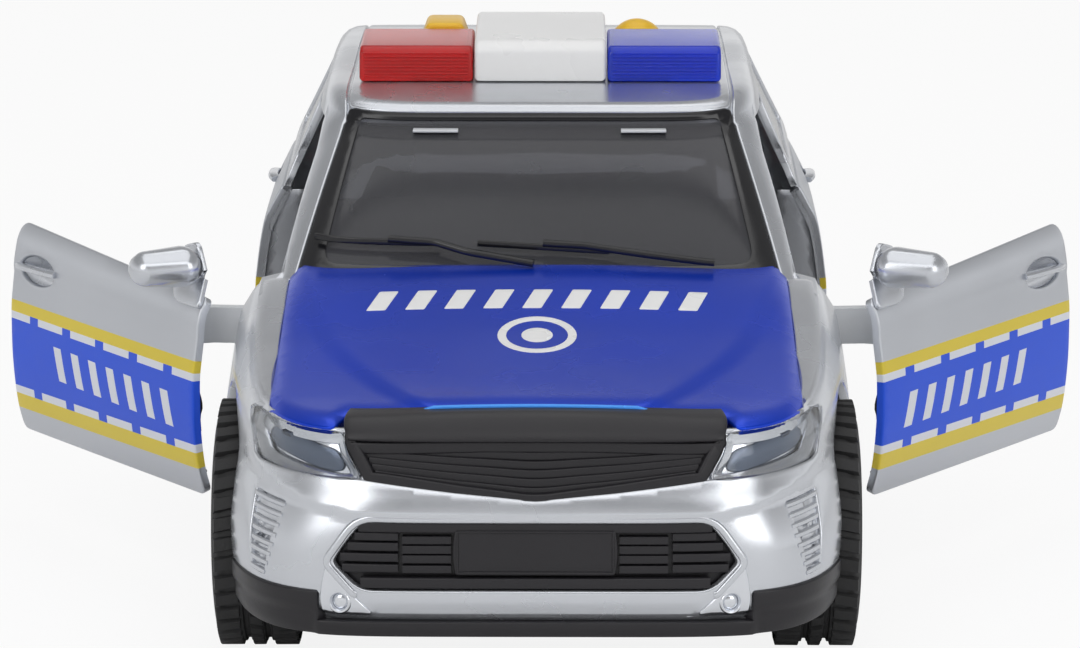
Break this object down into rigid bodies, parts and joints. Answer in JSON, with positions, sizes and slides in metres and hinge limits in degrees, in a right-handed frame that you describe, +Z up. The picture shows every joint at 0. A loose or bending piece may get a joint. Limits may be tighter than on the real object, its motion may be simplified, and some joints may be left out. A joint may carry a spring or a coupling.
{
  "type": "toy police car",
  "caption": "Toy police car with opening front doors, roof light bar with push buttons, block-tread tyres and a friction flywheel drive.",
  "frame": {"origin": "on the ground under the middle of the car", "axes": "+Z up, -Y towards the nose, +X to the right seen from the front"},
  "size_m": [0.1964, 0.248, 0.0889],
  "materials": {
    "silver_paint": "metallic paint on moulded plastic",
    "blue_paint": "metallic blue paint on moulded plastic",
    "black_plastic": "satin black moulding",
    "clear_plastic": "clear polished plastic",
    "bright_plating": "bright plating",
    "tail_red": "polished",
    "tinted_glazing": "dark tinted clear plastic",
    "gloss_black": "glossy",
    "red_lens": "translucent, polished",
    "blue_lens": "translucent, polished",
    "white_plastic": "semi-gloss",
    "yellow_plastic": "semi-gloss",
    "green_board": "lacquered",
    "steel": "plain",
    "cell_jacket": "printed sleeve",
    "grey_plastic": "satin grey moulding",
    "seat_plastic": "matt",
    "mirror_foil": "mirror foil",
    "tyre_rubber": "matt"
  },
  "bodies": {
    "car": {"body_shell": "silver_paint", "bonnet": "blue_paint", "upper_grille": "black_plastic", "lower_grille": "black_plastic", "headlamp_lens_left": "clear_plastic", "headlamp_lens_right": "clear_plastic", "headlamp_reflector_left": "bright_plating", "headlamp_reflector_right": "bright_plating", "fog_lamps": "bright_plating", "tail_lamps": "tail_red", "front_skirt": "black_plastic", "rear_skirt": "black_plastic", "windscreen": "tinted_glazing", "rear_window": "tinted_glazing", "side_windows_left": "tinted_glazing", "side_windows_right": "tinted_glazing", "wiper_left": "gloss_black", "wiper_right": "gloss_black", "lens_red": "red_lens", "lens_blue": "blue_lens", "lightbar_centre": "white_plastic", "circuit_board": "green_board", "roof_lamps": "white_plastic", "roof_unit_cover": "black_plastic", "chassis": "black_plastic", "screws": "steel", "battery_cells": "cell_jacket", "battery_cover": "black_plastic", "speaker": "steel", "interior_tub": "grey_plastic", "dashboard": "black_plastic", "front_seats": "seat_plastic", "rear_bench": "seat_plastic", "steering_wheel": "gloss_black", "hinge_brackets": "grey_plastic", "gearbox_frame": "black_plastic"},
    "door_left": {"door_panel_left": "silver_paint", "door_card_left": "black_plastic", "hinge_arm_left": "grey_plastic", "mirror_shell_left": "silver_paint", "mirror_glass_left": "mirror_foil"},
    "door_right": {"door_panel_right": "silver_paint", "door_card_right": "black_plastic", "hinge_arm_right": "grey_plastic", "mirror_shell_right": "silver_paint", "mirror_glass_right": "mirror_foil"},
    "front_wheels": {"front_axle": "steel", "front_hubs": "grey_plastic", "tyre_front_left": "tyre_rubber", "tyre_front_right": "tyre_rubber"},
    "rear_wheels": {"rear_axle": "steel", "rear_hubs": "grey_plastic", "tyre_rear_left": "tyre_rubber", "tyre_rear_right": "tyre_rubber", "drive_gear": "white_plastic"},
    "idler": {"idler_gear": "white_plastic"},
    "flywheel": {"flywheel": "steel"},
    "button_left": {"button_left": "yellow_plastic"},
    "button_right": {"button_right": "yellow_plastic"}
  },
  "joints": [
    {"name": "door_left_hinge", "type": "hinge", "parent": "car", "child": "door_left", "pos_m": [-0.048, -0.057, 0.0417], "axis": [0, 0, 1], "range_deg": [-35, 0]},
    {"name": "door_right_hinge", "type": "hinge", "parent": "car", "child": "door_right", "pos_m": [0.048, -0.057, 0.0417], "axis": [0, 0, -1], "range_deg": [-35, 0]},
    {"name": "front_axle_spin", "type": "hinge", "parent": "car", "child": "front_wheels", "pos_m": [0, -0.079, 0.0208], "axis": [1, 0, 0], "continuous": true},
    {"name": "rear_axle_spin", "type": "hinge", "parent": "car", "child": "rear_wheels", "pos_m": [0, 0.077, 0.0208], "axis": [1, 0, 0], "continuous": true},
    {"name": "idler_spin", "type": "hinge", "parent": "car", "child": "idler", "pos_m": [0, 0.06884, 0.02692], "axis": [1, 0, 0], "continuous": true},
    {"name": "flywheel_spin", "type": "hinge", "parent": "car", "child": "flywheel", "pos_m": [0, 0.05972, 0.03376], "axis": [1, 0, 0], "continuous": true},
    {"name": "button_left_press", "type": "slide", "parent": "car", "child": "button_left", "axis": [0, 0, -1], "range_m": [0, 0.0012], "stiffness_N_per_m": 800},
    {"name": "button_right_press", "type": "slide", "parent": "car", "child": "button_right", "axis": [0, 0, -1], "range_m": [0, 0.0012], "stiffness_N_per_m": 800}
  ],
  "couplings": [
    {"joint": "idler_spin", "follows": "rear_axle_spin", "ratio": -1.8333},
    {"joint": "flywheel_spin", "follows": "rear_axle_spin", "ratio": 3.9722}
  ]
}
